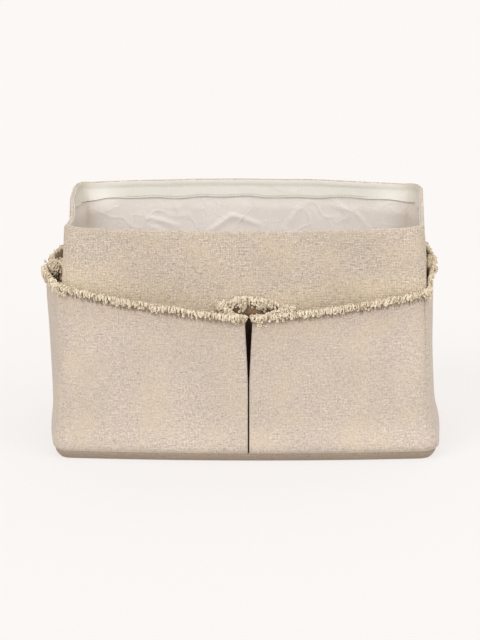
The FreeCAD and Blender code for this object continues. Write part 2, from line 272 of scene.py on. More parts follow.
def canvas_finish(name, ground, contrast, pitch=0.0012):
    """Undyed slub canvas: uneven yarns both ways, slubs, seed flecks. Its shade attribute paints light as a
    warmer lift below 0, and paints shade, brown then near black, above 0.
    """
    finish = Finish(name, 0.93, sheen=0.12)
    spot = finish.add("ShaderNodeUVMap", uv_map="weave").outputs[0]
    weave = plain_weave(finish, spot, pitch, 1.6)
    weft = finish.noise(spot, 150.0, 3.0, 0.62, (1, 4, 1))
    warp = finish.noise(spot, 170.0, 3.0, 0.62, (4, 1, 1))
    grain = finish.noise(spot, 600.0, 2.0, 0.6)
    slub = finish.noise(spot, 45.0, 2.0, 0.6, (1, 12, 1))
    dark = tuple(part * (1 - 0.40 * contrast) for part in ground[:3]) + (1,)
    red, green, blue = (min(1.0, part * (1 + 0.24 * contrast)) for part in ground[:3])
    pale = (red, green * 1.01, blue * 1.04, 1)
    streaks = finish.maths("ADD", finish.maths("MULTIPLY", weft, 0.30), finish.maths("MULTIPLY", warp, 0.24))
    streaks = finish.maths("ADD", streaks, finish.maths("MULTIPLY", grain, 0.46))
    colour = finish.mix(finish.spread(streaks, 0.36, 0.64), dark, pale)
    colour = finish.mix(finish.spread(weave, 0.0, 0.7, 0.45 * contrast, 0.0), colour, dark)
    colour = finish.mix(finish.spread(slub, 0.62, 0.78, 0.0, 0.45), colour, pale)
    straw = tuple(part * tint for part, tint in zip(ground[:3], (1.0, 0.985, 0.86))) + (1,)
    colour = finish.mix(finish.spread(finish.noise(spot, 26.0, 2.0), 0.42, 0.68, 0.0, 0.35), colour, straw)
    colour = finish.mix(finish.spread(finish.noise(spot, 14.0, 2.0), 0.3, 0.7, 0.0, 0.2), colour, dark)
    flecks = finish.dots(spot, 230.0, (0.8, 1, 1))
    rare = finish.spread(finish.noise(spot, 90.0, 1.0), 0.55, 0.62)
    seed = finish.maths("MULTIPLY", finish.spread(flecks, 0.10, 0.17, 0.55, 0.0), rare)
    colour = finish.mix(seed, colour, (0.20, 0.11, 0.05, 1))
    # Painted light and shade: at -1 a painted light lift, a little warmer; from 0 to 1 painted shade, brown
    # then near black.
    shade = finish.add("ShaderNodeAttribute", attribute_name="shade").outputs["Fac"]
    painted_light_lift = finish.spread(shade, -1.0, 0.0, 1.0, 0.0)
    colour = finish.mix(painted_light_lift, colour, (1.15, 1.13, 1.03, 1), "MULTIPLY")
    colour = finish.mix(finish.spread(shade, 0.0, 0.6), colour, (0.30, 0.17, 0.09, 1))
    colour = finish.mix(finish.spread(shade, 0.6, 1.0), colour, (0.020, 0.0050, 0.0010, 1))
    height = finish.maths("ADD", weave, finish.maths("MULTIPLY", streaks, 1.8))
    normal = finish.bump(finish.noise(spot, 55.0, 3.0), 0.0006, 0.5)
    return finish.done(colour, finish.bump(height, 0.00035, 0.8, normal))


def cotton_finish(name, ground, shade, creased, pitch=0.0006):
    """White cotton: a fine even weave with faint yarn streaks and thin creases, beige where shade is painted
    on it.
    """
    finish = Finish(name, 0.9, sheen=0.15)
    spot = finish.add("ShaderNodeUVMap", uv_map="weave").outputs[0]
    weave = plain_weave(finish, spot, pitch, 0.8)
    streaks = finish.maths("ADD", finish.noise(spot, 120.0, 2.0, 0.6, (1, 12, 1)),
                           finish.noise(spot, 120.0, 2.0, 0.6, (12, 1, 1)))
    colour = finish.mix(finish.spread(streaks, 0.7, 1.3), shade, ground)
    colour = finish.mix(finish.spread(finish.noise(spot, 22.0, 2.0), 0.35, 0.7, 0.0, 0.3), colour, shade)
    # Painted shade: the shade attribute mixes the cotton towards beige.
    colour = finish.mix(finish.add("ShaderNodeAttribute", attribute_name="shade").outputs["Fac"],
                        colour, (0.42, 0.34, 0.25, 1))
    crumple = finish.bump(finish.noise(spot, 70.0, 4.0, 0.6), 0.0008, 0.5 * creased)
    for scale, height in ((15.0, 0.0006), (31.0, 0.0003)):
        ridge = finish.maths("ABSOLUTE", finish.maths("SUBTRACT", finish.noise(spot, scale, 2.0, 0.45), 0.5))
        crease = finish.spread(ridge, 0.0, 0.022, 1.0, 0.0)
        crumple = finish.bump(crease, height, 0.55 * creased, crumple)
    return finish.done(colour, finish.bump(weave, 0.00015, 0.6, crumple))


def yarn_finish(name, ground, shade, brown_from):
    """Loose cotton yarn: each end its own tone, a few of them brown, with the fuzz of spun cotton."""
    finish = Finish(name, 0.95, sheen=0.3)
    spot = finish.add("ShaderNodeTexCoord").outputs["Object"]
    own = finish.add("ShaderNodeNewGeometry").outputs["Random Per Island"]
    colour = finish.mix(finish.spread(own, 0.0, 0.8, 0.0, 0.65), ground, shade)
    brown = finish.spread(own, brown_from, brown_from + 0.15, 0.0, 0.75)
    colour = finish.mix(brown, colour, (0.34, 0.22, 0.12, 1))
    fuzz = finish.noise(spot, 1600.0, 2.0, 0.6)
    colour = finish.mix(finish.spread(fuzz, 0.3, 0.6, 0.4, 0.0), colour, shade)
    return finish.done(colour, finish.bump(fuzz, 0.0004, 0.8))


def board_finish(name):
    """Pressed pulp board: grey-brown, with fibres and a slight tooth."""
    finish = Finish(name, 0.85)
    spot = finish.add("ShaderNodeTexCoord").outputs["Object"]
    fibres = finish.noise(spot, 400.0, 4.0, 0.7, (1, 3, 1))
    colour = finish.mix(finish.spread(fibres, 0.3, 0.7), (0.24, 0.20, 0.16, 1), (0.40, 0.35, 0.29, 1))
    return finish.done(colour, finish.bump(fibres, 0.0002, 0.5))


FINISHES = {
    "canvas": canvas_finish("natural_canvas", (0.606, 0.506, 0.406, 1), 1.40, 0.0017),
    # Painted shade: the base's canvas is darker all over, for the shade on its edge that curves under to the
    # floor.
    "base_canvas": canvas_finish("base_canvas_painted_shade", (0.378, 0.297, 0.226, 1), 1.0, 0.0014),
    "pocket_canvas": canvas_finish("pocket_canvas", (0.614, 0.516, 0.426, 1), 1.15, 0.0015),
    "lining": cotton_finish("lining_cotton", (0.775, 0.727, 0.690, 1), (0.70, 0.647, 0.60, 1), 1.0),
    "facing": cotton_finish("facing_cotton", (0.770, 0.757, 0.700, 1), (0.715, 0.69, 0.632, 1), 0.35),
    "fray": yarn_finish("cream_yarn", (0.91, 0.82, 0.65, 1), (0.56, 0.45, 0.315, 1), 0.78),
    # The roots are warp ends, coloured dark brown as painted shadow under the fringe.
    "fray_roots": yarn_finish("root_yarn_painted_shadow", (0.40, 0.295, 0.19, 1), (0.20, 0.125, 0.07, 1), 1.0),
    "thread": yarn_finish("sewing_thread", (0.60, 0.53, 0.44, 1), (0.44, 0.38, 0.30, 1), 1.0),
    "board": board_finish("pulp_board"),
}


# Making pieces.


def placed(name, data):
    """A new object in the scene."""
    thing = bpy.data.objects.new(name, data)
    bpy.context.scene.collection.objects.link(thing)
    return thing


def finished(bm, name, slot, nodes, thickness=0.0, finish=None):
    """A piece made of a bmesh, in its slot's finish or its own, standing for CAD nodes."""
    mesh = bpy.data.meshes.new(name)
    bm.to_mesh(mesh)
    bm.free()
    return joined_up(name, mesh, slot, nodes, thickness, finish)


def joined_up(name, mesh, slot, nodes, thickness=0.0, finish=None):
    """A piece made of a mesh, thickened if it is cloth."""
    piece = placed(name, mesh)
    mesh.materials.clear()
    mesh.materials.append(FINISHES[finish or slot])
    for face in mesh.polygons:
        face.use_smooth = True
    if thickness:
        ply = piece.modifiers.new("thickness", "SOLIDIFY")
        ply.thickness = thickness
        ply.offset = 0.0
        ply.use_even_offset = True
        depsgraph = bpy.context.evaluated_depsgraph_get()
        shape = piece.evaluated_get(depsgraph)
        piece.data = bpy.data.meshes.new_from_object(
            shape, preserve_all_data_layers=True, depsgraph=depsgraph)
        piece.modifiers.clear()
        piece.data.set_sharp_from_angle(angle=math.radians(50))
    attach(piece, "root")
    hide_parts(*nodes)
    return piece


def cloth(name, columns, rows, place, slot, node, thickness, shade=None):
    """Sheet of cloth: a grid whose points go where place puts them, with its own weave coordinates."""
    bm = bmesh.new()
    bmesh.ops.create_grid(bm, x_segments=columns, y_segments=rows, size=0.5)
    weave = bm.loops.layers.uv.new("weave")
    shades = bm.verts.layers.float.new("shade")
    spots = {}
    for vert in bm.verts:
        s, t = vert.co.x + 0.5, vert.co.y + 0.5
        vert.co, spots[vert] = place(s, t)
        vert[shades] = shade(s, t) if shade else 0.0
    for face in bm.faces:
        for loop in face.loops:
            loop[weave].uv = spots[loop.vert]
    return finished(bm, name, slot, [node], thickness)


def yarns(name, runs, radius, slot, nodes, sides=1, finish=None):
    """Loose threads, one tube for each run of points, as one mesh. A run's points may carry a girth."""
    curve = bpy.data.curves.new(name, "CURVE")
    curve.dimensions = "3D"
    curve.bevel_depth = radius
    curve.bevel_resolution = sides
    curve.use_fill_caps = True
    for run in runs:
        spline = curve.splines.new("POLY")
        spline.points.add(len(run) - 1)
        for point, (place, girth) in zip(spline.points, run):
            point.co = (*place, 1.0)
            point.radius = girth
    holder = placed(name, curve)
    shape = holder.evaluated_get(bpy.context.evaluated_depsgraph_get())
    mesh = bpy.data.meshes.new_from_object(shape)
    bpy.data.objects.remove(holder)
    bpy.data.curves.remove(curve)
    return joined_up(name, mesh, slot, nodes, finish=finish)


# The walls, their linings and the facing.

# How far the rim of each wall hangs in, and how much more it does so towards one end.
RIM_SLACK = {"front": (0.0, 0.0), "right": (0.004, -0.4), "back": (0.002, 0.0), "left": (0.006, 0.8)}
# How much higher the middle of each rim stands, and how far the right back corner droops.
RIM_SAGS = {"front": -0.0025, "right": -0.002, "back": 0.0025, "left": -0.003}
RIM_DROOP = 0.0018


def rim_level(side, share):
    """Level of the rim: the front sags, the back stands and droops at the right, the corners peak."""
    middle = 1 - share * share
    sag = RIM_SAGS[side.name]
    corner = 0.0012 * smooth((abs(share) - 0.9) / 0.1)
    ripple = 0.0006 * noise.noise(Vector((share * 5.0, side.number * 7.1, 0.3)))
    droop = {"right": smooth((share - 0.3) / 0.7), "back": smooth((-share - 0.3) / 0.5)}.get(side.name, 0.0)
    return RIM + sag * middle**0.8 + ripple * middle + corner - RIM_DROOP * droop


def swell(side, along, level):
    """How far the slack cloth of a wall, all its plies together, stands off its drawn shape."""
    edge = smooth(side.inset(along, level) / 0.045)
    rise = smooth((level - FOOT) / 0.05)
    slow = noise.noise(Vector((along * 11.0, level * 9.0, side.number * 3.7)))
    quick = noise.noise(Vector((along * 34.0, level * 20.0, 9.0 + side.number)))
    share = along / side.half(level, along)
    depth, lean = RIM_SLACK[side.name]
    slack = depth * smooth((level - 0.14) / 0.09) * (1 - share * share) * (1 + lean * share)
    return (0.0016 * slow + 0.0005 * quick) * edge * rise - slack


def seam_dip(side, along, level, depth, width=0.0035):
    """How far a ply is drawn in beside a corner seam."""
    near = 1 - side.inset(along, level) / width
    return depth * max(0.0, near) ** 2


def denser_ends(share):
    """Spaces columns closer together beside the seams."""
    return 0.5 * share + 0.5 * math.sin(share * math.pi / 2)


def wall(side):
    """Canvas wall from seam to seam, rolled over at the rim, with painted light just above its pocket and
    painted shade inside it.
    """
    band = Band(side)

    def place(s, t):
        share = denser_ends(2 * s - 1)
        row = t * (WALL_ROWS + ROLL_ROWS + 1)
        top = rim_level(side, share) - ROLL - CANVAS / 2
        turned = min(1.0, max(0.0, (row - WALL_ROWS) / ROLL_ROWS)) * math.pi
        level = between(FOOT, top, min(1.0, row / WALL_ROWS)) + ROLL * math.sin(turned)
        if row > WALL_ROWS + ROLL_ROWS:
            level -= TUCK
        along = side.along(share, level)
        off = swell(side, along, level) - CANVAS / 2 - ROLL * (1 - math.cos(turned))
        off -= seam_dip(side, along, level, 0.0003)
        return side.at(along, level, off), (along + side.number, level + ROLL * turned)

    # Painted light just above the pocket's cut edge, and painted shade below it, inside the pocket.
    def shade(s, t):
        share = denser_ends(2 * s - 1)
        edge = band.cut_edge(0.5 + math.copysign(0.5 * (1 - FACE_END * (1 - abs(share))), share))
        above = (min(1.0, t * (WALL_ROWS + ROLL_ROWS + 1) / WALL_ROWS) * RIM - edge) / 0.028
        return 0.7 * smooth(-1.2 - 3 * above) - max(0.0, 1 - abs(above - 0.1)) ** 1.2

    piece = cloth(f"{side.name}_wall_canvas", 130, WALL_ROWS + ROLL_ROWS + 1, place,
                  "canvas", f"{side.name}_wall", CANVAS, shade=shade)
    side.whole(RIM)


# A loose ply cuts across the back corners this deep, from this near the seam, and does so fully this far
# below the rim.
CORNER_CUT = 0.014
CUT_WIDTH = 0.06
CUT_DROP = 0.03

# Creases of each lining, in its wall's terms: along, below the rim, length, turn in degrees, height.
CREASES = {
    "back": (
        (0.086, 0.042, 0.034, 17, 0.0012), (0.092, 0.050, 0.022, 22, 0.0009),
        (0.070, 0.026, 0.020, 85, 0.0007), (0.025, 0.045, 0.034, -36, 0.0014),
        (-0.001, 0.041, 0.034, 19, 0.0012), (0.000, 0.028, 0.024, 88, 0.0008),
        (-0.051, 0.036, 0.024, -62, 0.0013), (-0.097, 0.025, 0.020, 22, 0.0012),
        (-0.122, 0.040, 0.030, 50, 0.0010), (-0.020, 0.100, 0.090, -14, 0.0016),
        (0.060, 0.150, 0.080, 35, 0.0016), (-0.080, 0.130, 0.060, 70, 0.0014),
    ),
    "front": (
        (-0.090, 0.060, 0.050, -28, 0.0014), (0.030, 0.050, 0.040, 16, 0.0012),
        (0.010, 0.085, 0.030, 80, 0.0010), (0.120, 0.090, 0.060, 60, 0.0014),
        (-0.020, 0.130, 0.090, -10, 0.0016), (-0.060, 0.040, 0.030, 40, 0.0010),
    ),
    "left": (
        (0.040, 0.060, 0.050, 30, 0.0014), (-0.050, 0.110, 0.060, -40, 0.0014),
        (0.000, 0.035, 0.030, 75, 0.0010),
    ),
    "right": (
        (-0.040, 0.050, 0.040, -25, 0.0014), (0.045, 0.120, 0.060, 50, 0.0014),
        (0.010, 0.035, 0.030, 80, 0.0010),
    ),
}


def crumple(side, along, drop):
    """How far a lining stands in from the canvas, for a place along it and below the rim."""
    depth = 0.0
    for middle, below, length, turn, height in CREASES[side.name]:
        turn = math.radians(turn)
        x, z = along - middle, below - drop
        way = x * math.cos(turn) + z * math.sin(turn)
        across = z * math.cos(turn) - x * math.sin(turn) + 0.1 * way * way / length
        width = 0.0017 if across > 0 else 0.0042
        depth += height * math.exp(-((across / width) ** 2) - (2 * way / length) ** 4)
    fine = 0.5 + 0.5 * noise.noise(Vector((along * 60.0, drop * 60.0, side.number * 5.0)))
    slack = 0.5 + 0.5 * noise.noise(Vector((along * 17.0, drop * 13.0, side.number * 2.0 + 0.5)))
    edge = smooth(side.inset(along, RIM) / 0.02)
    held = smooth((drop - 0.018) / 0.012)
    return (depth + 0.0007 * fine + 0.0014 * slack * slack) * edge * held


def cut_across(side, along, level, depth):
    """How far a loose ply stands in where it cuts across the back corners."""
    if ENDS[side.name][along >= 0] == "front":
        return 0.0
    return depth * smooth(1 - side.inset(along, level) / CUT_WIDTH) * smooth((level - 0.04) / 0.08)


def painted_ply_shade(side, even, corner, start, width):
    """Painted shade of a cotton ply: even on a short side, gathered towards the corners on a long one."""

    def shade(s, t):
        if not side.is_long:
            return even
        return corner * smooth((abs(2 * s - 1) - start) / width)

    return shade


def lining(side):
    """White cotton inside one wall, a little too large for it, so that it creases."""

    def place(s, t):
        share = 0.999 * denser_ends(2 * s - 1)
        top = rim_level(side, share) - 2 * ROLL
        level = between(LINING_FOOT, top, 1 - (1 - t) ** 1.5)
        along = side.along(share, level)
        off = swell(side, along, level) - CANVAS - PLY_GAP - LINING / 2
        off -= crumple(side, along, top - level)
        off -= cut_across(side, along, level, CORNER_CUT * smooth((top - level) / CUT_DROP))
        return side.at(along, level, off), (along + side.number, level)

    # Painted shade on the short sides' lining and towards the corners of the long ones.
    piece = cloth(f"{side.name}_lining_cotton", 190, 110, place, "lining", f"{side.name}_lining", LINING,
                  shade=painted_ply_shade(side, even=0.48, corner=0.50, start=0.68, width=0.26))
    side.whole(RIM)


# The facing: rows in all, rows that wrap the canvas's roll, how far round they go, and their radius there.
FACING_ROWS = 18
WRAP_ROWS = 6
WRAP_TURN = math.radians(20)
WRAP_RADIUS = ROLL + CANVAS / 2 + PLY_GAP / 3 + LINING / 2


def facing_off(side, along, level, drop):
    """Off of the facing's middle below the wrap: beside the rolled canvas, and on the lining below that."""
    on_lining = CANVAS + LINING + 2 * PLY_GAP + LINING / 2
    on_roll = CANVAS / 2 + ROLL + WRAP_RADIUS
    return swell(side, along, level) - between(on_roll, on_lining, smooth((drop - 0.002) / 0.004))


def facing_low(side, share):
    """Level of the facing's wavy lower edge."""
    wave = 0.0007 * math.sin(share * 23.0 + side.number) + 0.0006 * math.sin(share * 9.0 + 1.0)
    return FACING_LOW + 0.5 * (rim_level(side, share) - RIM) + wave


def facing(side):
    """White strip inside the rim: its top wraps the rolled canvas and its hem stands a little proud."""

    def place(s, t):
        share = 0.999 * denser_ends(2 * s - 1)
        top = rim_level(side, share) - ROLL - CANVAS / 2
        row = t * FACING_ROWS
        wrapped = WRAP_TURN * max(0.0, row - FACING_ROWS + WRAP_ROWS) / WRAP_ROWS
        level = between(facing_low(side, share), top, min(1.0, row / (FACING_ROWS - WRAP_ROWS)))
        along = side.along(share, level)
        puff = 0.0004 * noise.noise(Vector((along * 45.0, 4.0, side.number))) + 0.0002
        off = facing_off(side, along, level, top - level) - puff * (1 - smooth(t / 0.5))
        off += WRAP_RADIUS * (1 - math.cos(wrapped))
        off -= cut_across(side, along, level, CORNER_CUT * smooth((top - level) / CUT_DROP))
        level += WRAP_RADIUS * math.sin(wrapped)
        return side.at(along, level, off), (along + side.number, level + off)

    # Painted shade on the short sides' facing and towards the corners of the long ones.
    piece = cloth(f"{side.name}_facing_cotton", 150, FACING_ROWS, place,
                  "facing", f"{side.name}_facing", LINING,
                  shade=painted_ply_shade(side, even=0.46, corner=0.46, start=0.74, width=0.24))
    side.whole(RIM)


def facing_stitches(sides):
    """Lockstitch along the facing's hem: separate stitches that sink at both ends."""
    pitch, length, rise, radius = 0.0032, 0.0026, 0.0022, 0.00022
    runs = []
    for side in sides:
        start, end = 0.003 - side.half(FACING_LOW, -1), side.half(FACING_LOW, 1) - 0.003
        while start + length < end:
            run = []
            for part, lift in ((0.0, -0.0006), (0.12, 0.0), (0.88, 0.0), (1.0, -0.0006)):
                along = start + part * length
                level = facing_low(side, along / side.half(FACING_LOW, along)) + rise
                off = facing_off(side, along, level, 0.018) - LINING / 2 - 0.0005 - lift
                run.append((side.at(along, level, off), 1.0))
            runs.append(run)
            start += pitch
    yarns("facing_stitches", runs, radius, "thread", ["facing_stitching"], sides=0)


# The pocket bands.

# Of each band: how far its left and right halves stand off at the pleat and bulge beyond it, how far it
# swells above its foot at the left and right seams, the levels of its cut edge at the seams, at the outer
# folds, at the inner folds and on the underlay, the middle of its pleat, and the pleat's reach each way.
BANDS = {
    "front": {
        "mouths": (0.020, 0.020), "bulges": (0.0, 0.0), "bellies": (0.003, 0.007),
        "seam_tops": (0.178, 0.1727), "fold_top": 0.153, "inner_tops": (0.1615, 0.158),
        "under_top": 0.169, "middle": 0.004, "pleats": (0.030, 0.041),
    },
    "right": {
        "mouths": (0.004, 0.0038), "bulges": (0.0, 0.0015), "bellies": (0.007, 0.0015),
        "seam_tops": (0.1727, 0.172), "fold_top": 0.178, "inner_tops": (0.177, 0.178),
        "under_top": 0.180, "middle": -0.004, "pleats": (0.024, 0.018),
    },
    "back": {
        "mouths": (0.017, 0.017), "bulges": (0.0, 0.0), "bellies": (0.0015, 0.0015),
        "seam_tops": (0.172, 0.172), "fold_top": 0.1535, "inner_tops": (0.1605, 0.1615),
        "under_top": 0.169, "middle": -0.003, "pleats": (0.032, 0.026),
    },
    "left": {
        "mouths": (0.008, 0.0185), "bulges": (0.0055, 0.0), "bellies": (0.0015, 0.003),
        "seam_tops": (0.172, 0.178), "fold_top": 0.176, "inner_tops": (0.176, 0.176),
        "under_top": 0.1775, "middle": 0.006, "pleats": (0.018, 0.024),
    },
}
SLIT_FOOT = 0.0007
SLIT_MOUTH = 0.0040
SLIT_FROM = 0.5
# A band swells most at the first of these, and less over the second above it and the third below it.
BELLY_LEVEL, BELLY_ABOVE, BELLY_BELOW = 0.014, 0.016, 0.009
# Shares of a half band's columns, counted from its seam: face, outer fold, return, inner fold, underlay.
FACE_END, FOLD_END, RETURN_END, INNER_END = 0.62, 0.68, 0.82, 0.88
BAND_COLUMNS = 200
BAND_ROWS = 64


class Band:
    """Shape of one pocket band's middle surface, and its cut edge."""

    def __init__(self, side):
        self.side = side
        self.cut = BANDS[side.name]
        self.middle = self.cut["middle"]
        self.lie = BAND_GAP + CANVAS / 2

    def stand(self, open_share, along, level):
        """How far the band's face stands off where it would lie on the wall."""
        layers = 2 * (CANVAS + FOLD_GAP)
        share = (along - self.middle) / (self.side.half(level, along) - math.copysign(self.middle, along))
        share = min(1.0, max(-1.0, share))
        out = between(layers, self.cut["mouths"][share > 0], open_share**1.4)
        above = level - BELLY_LEVEL
        belly = between(*self.cut["bellies"], 0.5 + 0.5 * share)
        belly *= math.exp(-((above / (BELLY_ABOVE if above > 0 else BELLY_BELOW)) ** 2))
        bulge = self.cut["bulges"][share > 0] * math.sin(math.pi * abs(share) ** 0.65) ** 2 * open_share**1.5
        corner = 0.0014 * open_share**3 * math.exp(-(((abs(share) - 0.93) / 0.05) ** 2))
        flat = 3.0 if self.side.name == "right" else 1.1
        return out * (1 - share * share) ** flat + belly + bulge + corner

    def cut_edge(self, s):
        """Level of the cut edge at a share of the band's columns."""
        way = 1 - abs(2 * s - 1)
        fold, inner, under = self.cut["fold_top"], self.cut["inner_tops"][s >= 0.5], self.cut["under_top"]
        wavy = (0.0007 if self.side.is_long else 0.0020) if way < FACE_END else 0.0030
        ripple = wavy * noise.noise(Vector((s * 60.0, self.side.number, 2.0)))
        if way < FACE_END:
            share = way / FACE_END
            dip = 0.45 * share + 0.55 * math.sin(share * math.pi / 2) ** 1.15
            level = between(self.cut["seam_tops"][s >= 0.5], fold, dip)
        elif way < INNER_END:
            level = between(fold, inner, smooth((way - FOLD_END) / (RETURN_END - FOLD_END)))
        else:
            level = between(inner, under, math.sin(math.pi / 2 * (way - INNER_END) / (1 - INNER_END)))
        return level + ripple

    def spot(self, s, t):
        """Distance along the wall, off it and level, at shares of the band's columns and height."""
        way = 1 - abs(2 * s - 1)
        hand = -1 if s < 0.5 else 1
        pleat = self.cut["pleats"][hand > 0]
        level = between(BASE_SEAM, self.cut_edge(s), t)
        half = self.side.half(level, hand)
        gape = max(0.0, (t - SLIT_FROM) / (1 - SLIT_FROM)) ** 1.15
        slit = between(SLIT_FOOT, SLIT_MOUTH, gape) + CANVAS / 2
        front = self.lie + self.stand(t, self.middle + hand * slit, level)
        bend = between(0.0008, 0.0022, t**2)
        inner = between(0.0008, 0.0018, t**2)
        fold_at = slit + bend
        if way <= FACE_END:
            share = way / FACE_END
            ends = denser_ends(2 * share - 1) / 2 + 0.5
            along = between(hand * half, self.middle + hand * fold_at, ends)
            off = self.lie + self.stand(t, along, level)
        elif way <= FOLD_END:
            turn = math.pi * (way - FACE_END) / (FOLD_END - FACE_END)
            along = self.middle + hand * (fold_at - bend * math.sin(turn))
            off = front - bend + bend * math.cos(turn)
        elif way <= RETURN_END:
            share = (way - FOLD_END) / (RETURN_END - FOLD_END)
            reach = pleat - inner - fold_at
            along = self.middle + hand * (fold_at + reach * share)
            off = between(front - 2 * bend, self.lie + 2 * inner, smooth(share))
        elif way <= INNER_END:
            turn = math.pi * (way - RETURN_END) / (INNER_END - RETURN_END)
            along = self.middle + hand * (pleat - inner + inner * math.sin(turn))
            off = self.lie + inner + inner * math.cos(turn)
        else:
            share = (way - INNER_END) / (1 - INNER_END)
            along = self.middle + hand * (pleat - inner) * (1 - share)
            off = self.lie
        return along, off, level

    def point(self, s, t):
        along, off, level = self.spot(s, t)
        side = self.side
        off += swell(side, along, level) - seam_dip(side, along, level, 0.0003)
        off -= 0.0010 * max(0.0, 1 - (level - BASE_SEAM) / 0.003) ** 2
        return side.at(along, level, off)

    def shade(self, s, t):
        """Painted shade: a little under the fringe; in the pleat, brown towards its top and dark below."""
        way = 1 - abs(2 * s - 1)
        level = between(BASE_SEAM, self.cut_edge(s), t)
        inside = smooth((way - FACE_END - 0.030) / 0.020)
        below = self.cut["fold_top"] - level
        deep = smooth((below + (0.003 if self.side.is_long else -0.008)) / 0.008)
        brown = smooth((below + 0.018) / 0.010)
        under_fringe = 0.06 * smooth(1 - (self.cut_edge(s) - level) / 0.040)
        return max(under_fringe, inside * (0.5 * brown + 0.48 * deep))


def band_lengths(band):
    """Length of cloth from the left seam to each column, along the cut edge."""
    points = [band.point(column / BAND_COLUMNS, 1.0) for column in range(BAND_COLUMNS + 1)]
    lengths = [0.0]
    for here, there in zip(points, points[1:]):
        lengths.append(lengths[-1] + (Vector(there.xy) - Vector(here.xy)).length)
    return lengths


def pocket(side):
    """Pocket band with its box pleat, and its frayed edge."""
    band = Band(side)
    lengths = band_lengths(band)

    def place(s, t):
        point = band.point(s, t)
        return point, (lengths[round(s * BAND_COLUMNS)], point.z + 0.5 + side.number)

    # The band's shade attribute carries painted shade under its fringe and in its pleat.
    piece = cloth(f"{side.name}_pocket_canvas", BAND_COLUMNS, BAND_ROWS, place,
                  "pocket_canvas", f"{side.name}_pocket", CANVAS, shade=band.shade)
    ends, roots = frayed_edge(band)
    max(band.cut["seam_tops"])


def edge_walk(band, pitch):
    """Points a pitch apart along the cut edge, each with its ways along and off it, and if it is folded."""
    outward = band.side.spin @ Vector((0, -1, 0))
    samples = [band.point(step / 900, 1.0) for step in range(901)]
    walked, due = [], pitch / 2
    for number, (here, there) in enumerate(zip(samples, samples[1:])):
        folded = abs(2 * number / 900 - 1) < 1 - FOLD_END
        step = (there - here).length
        while due <= step:
            way = (there - here).normalized()
            face = way.cross(UP).normalized()
            if face.dot(outward) < 0:
                face = -face
            walked.append((here.lerp(there, due / step), way, face, folded))
            due += pitch
        due -= step
    return walked


def hanging_end(rng, base, way, face, lean, out, fall):
    """One warp end: up over the cut, out and down, its tip straight or hooked."""
    lift = rng.uniform(0.0006, 0.0024)
    tip = base + UP * (lift - fall) + face * (out + rng.gauss(0, 0.0004)) + way * lean
    run = [
        (base - UP * 0.0012, 0.8),
        (base + UP * lift + face * out * 0.45 + way * lean * 0.1, 1.0),
        (base + UP * (lift - fall * 0.25) + face * out * 1.15 + way * lean * 0.3, 1.1),
        (base + UP * (lift - fall * 0.65) + face * out * 1.2 + way * lean * 0.7, 1.05),
    ]
    if rng.random() < 0.45:
        hook = rng.choice((-1, 1)) * rng.uniform(0.0006, 0.0013)
        return run + [(tip, 1.05), (tip + way * hook + face * 0.0006 + UP * 0.0003, 1.0),
                      (tip + way * hook * 1.4 + face * 0.0008 + UP * 0.0015, 0.8)]
    return run + [(tip, 0.7)]


def knot(rng, base, way, face, hang):
    """One warp end curled into a small loop, on the cut or hanging from it."""
    size = rng.uniform(0.0005, 0.0012)
    middle = base + face * rng.uniform(0.0012, 0.0034) + UP * (rng.uniform(-0.0035, 0.0016) - hang)
    middle += way * rng.uniform(-0.0012, 0.0012)
    tilt = rng.uniform(-0.8, 0.8)
    run = [(base - UP * 0.0008, 0.8)]
    for step in range(7):
        turn = step * math.pi / 3 + tilt
        bend = middle + way * size * math.cos(turn) + UP * size * math.sin(turn)
        run.append((bend + face * 0.0002 * step, 1.1))
    return run


def clump(rng, spot, count, width, depth, high, low):
    """Curled ends about one place on the cut edge, hanging from high to low."""
    base, way, face, _ = spot
    runs = []
    for _ in range(count):
        start = base + way * rng.gauss(0, width) + face * rng.uniform(0.0, depth)
        runs.append(knot(rng, start, way, face, rng.uniform(high, low)))
    return runs


# Threads of the cut edge, their radii, the width of a tuft, and the pitches they are set at.
END_RADIUS, ROOT_RADIUS = 0.00044, 0.00036
TUFT = 0.0034
KNOT_PITCH = 0.0017
CORNER_PITCH = 0.0030
STANDING_PITCH = 0.0038
ROOT_PITCH = 0.0017
TANGLE_PITCH = 0.0020
# Two layers of hanging ends: pitch, how far they stand out, how far they fall.
LAYERS = ((0.00125, 0.0018, 0.0047), (0.00155, 0.0031, 0.0056))
# How far the ends stand out and fall on each wall, against the figures above.
BUSHY = {"front": 1.0, "right": 0.6, "back": 1.0, "left": 1.2}

# Clumps of curled ends on the folded edge: share of the way along it, how many, how far they hang.
CLUMPS = (
    (0.03, 30, 0.0045), (0.22, 36, 0.0050), (0.33, 30, 0.0060), (0.40, 60, 0.0105), (0.515, 40, 0.0095),
    (0.58, 24, 0.0060), (0.76, 40, 0.0050), (0.86, 30, 0.0040), (0.97, 44, 0.0075),
)


def tangle(rng, spots):
    """Loose threads that cross the mouth of the pleat from one place on its folded edge to another."""
    runs = []
    for _ in range(26):
        first = rng.randrange(len(spots))
        start, end = spots[first], spots[min(len(spots) - 1, first + rng.randint(3, 14))]
        run = []
        for step in range(7):
            share = step / 6
            hang = 4 * share * (1 - share) * rng.uniform(0.5, 1.0) * 0.005
            stray = Vector((rng.gauss(0, 0.0008), rng.gauss(0, 0.0008), rng.gauss(0, 0.0008)))
            run.append((start.lerp(end, share) + stray - UP * hang, 1.0))
        runs.append(run)
    return runs


